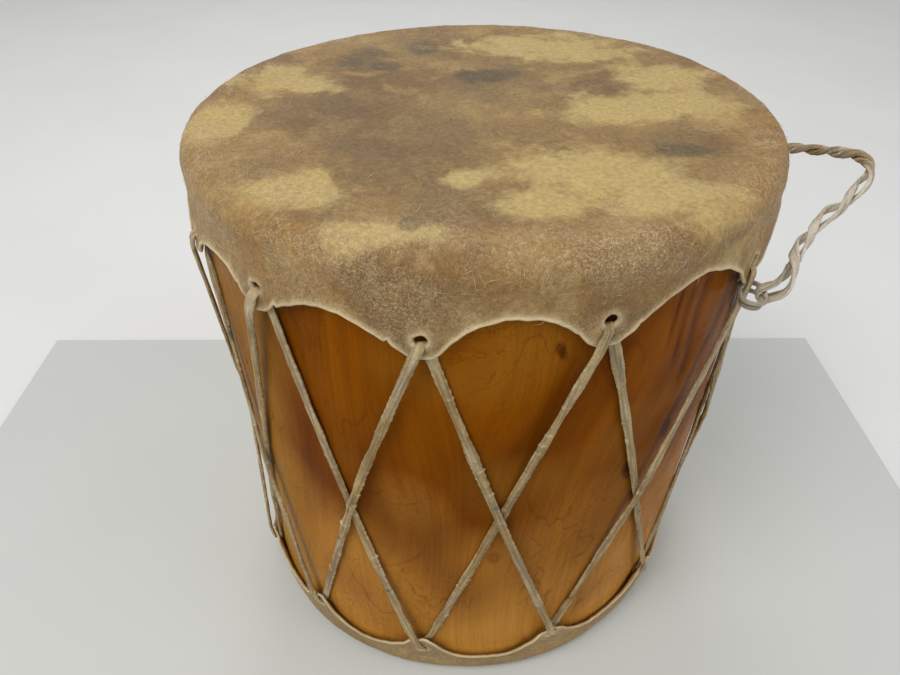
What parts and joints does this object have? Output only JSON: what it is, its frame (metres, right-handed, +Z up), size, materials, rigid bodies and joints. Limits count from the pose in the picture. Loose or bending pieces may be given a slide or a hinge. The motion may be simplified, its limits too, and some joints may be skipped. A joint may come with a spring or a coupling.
{
  "type": "log drum",
  "caption": "Tall wooden drum with a rawhide head over each end, laced together with rawhide and fitted with a twisted carrying loop.",
  "frame": {"origin": "centre of the lower head's face, where the drum stands", "axes": "+Z up along the shell; X along the long way of its oval plan; -Y towards the side that is left of the carrying loop"},
  "size_m": [0.3335, 0.2912, 0.3258],
  "materials": {
    "wood": "varnished satin",
    "rawhide": "dry satin",
    "thong": "dry satin"
  },
  "bodies": {
    "drum": {"shell": "wood", "upper_head": "rawhide", "lower_head": "rawhide", "first_lace": "thong", "second_lace": "thong", "near_tie": "thong", "far_tie": "thong"},
    "loop": {"carrying_loop": "thong"}
  },
  "joints": [
    {"name": "loop_hinge", "type": "hinge", "parent": "drum", "child": "loop", "pos_m": [0.08817, -0.12742, 0.2786], "axis": [-0.5003, -0.8658, 0], "range_deg": [-100, 40]}
  ]
}
